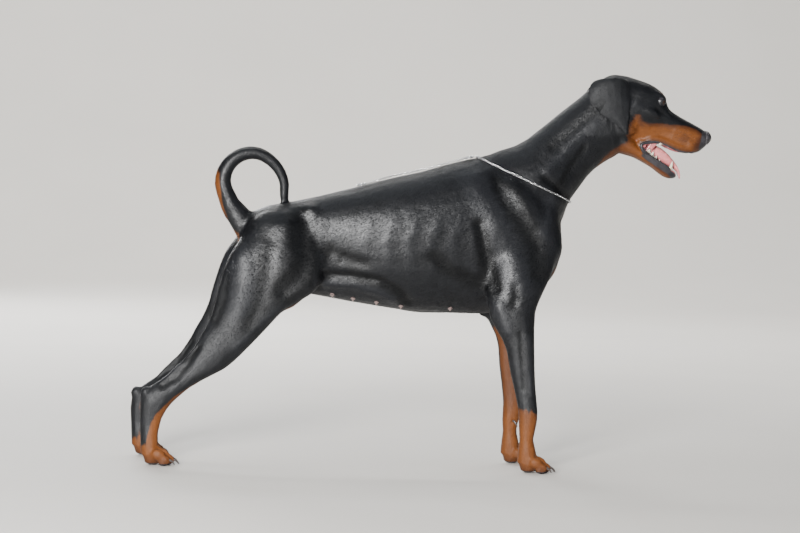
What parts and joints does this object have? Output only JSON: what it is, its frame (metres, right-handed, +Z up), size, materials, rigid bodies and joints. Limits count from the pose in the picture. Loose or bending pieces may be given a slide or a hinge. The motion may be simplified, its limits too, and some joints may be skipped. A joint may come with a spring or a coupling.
{
  "type": "doberman pinscher model",
  "caption": "Life-size still model of a black and tan doberman, standing stacked with its mouth open and its tail curled, with a fine chain collar.",
  "frame": {"origin": "middle of the underside's bounding box, on the floor", "axes": "+X forward along the body to the nose, +Y to the dog's left, +Z up"},
  "size_m": [1.2174, 0.2352, 0.8481],
  "materials": {
    "coat_black": "short glossy black coat with rust-tan markings",
    "coat_tan": "short rust-tan coat of the feet",
    "horn_claw": "dark horn",
    "eye": "wet dark brown eye",
    "nose_leather": "damp pebbled black skin",
    "tongue": "moist pink",
    "steel_chain": "polished steel links"
  },
  "bodies": {
    "root": {"chain_collar": "steel_chain", "chain_end": "steel_chain", "chain_ring_end": "steel_chain", "chain_ring_slip": "steel_chain", "dewclaw_left": "horn_claw", "dewclaw_right": "horn_claw", "ear_left": "coat_black", "ear_right": "coat_black", "eye_left": "eye", "eye_right": "eye", "fore_claw_left_1": "horn_claw", "fore_claw_left_2": "horn_claw", "fore_claw_left_3": "horn_claw", "fore_claw_left_4": "horn_claw", "fore_claw_right_1": "horn_claw", "fore_claw_right_2": "horn_claw", "fore_claw_right_3": "horn_claw", "fore_claw_right_4": "horn_claw", "foreleg_left": "coat_black", "foreleg_right": "coat_black", "forepaw_left": "coat_tan", "forepaw_right": "coat_tan", "head": "coat_black", "hind_claw_left_1": "horn_claw", "hind_claw_left_2": "horn_claw", "hind_claw_left_3": "horn_claw", "hind_claw_left_4": "horn_claw", "hind_claw_right_1": "horn_claw", "hind_claw_right_2": "horn_claw", "hind_claw_right_3": "horn_claw", "hind_claw_right_4": "horn_claw", "hindleg_left": "coat_black", "hindleg_right": "coat_black", "hindpaw_left": "coat_tan", "hindpaw_right": "coat_tan", "lower_jaw": "coat_black", "neck": "coat_black", "nose": "nose_leather", "tail_ring": "coat_black", "tail_root": "coat_black", "tail_tip": "coat_black", "tongue": "tongue", "torso": "coat_black"}
  },
  "joints": []
}
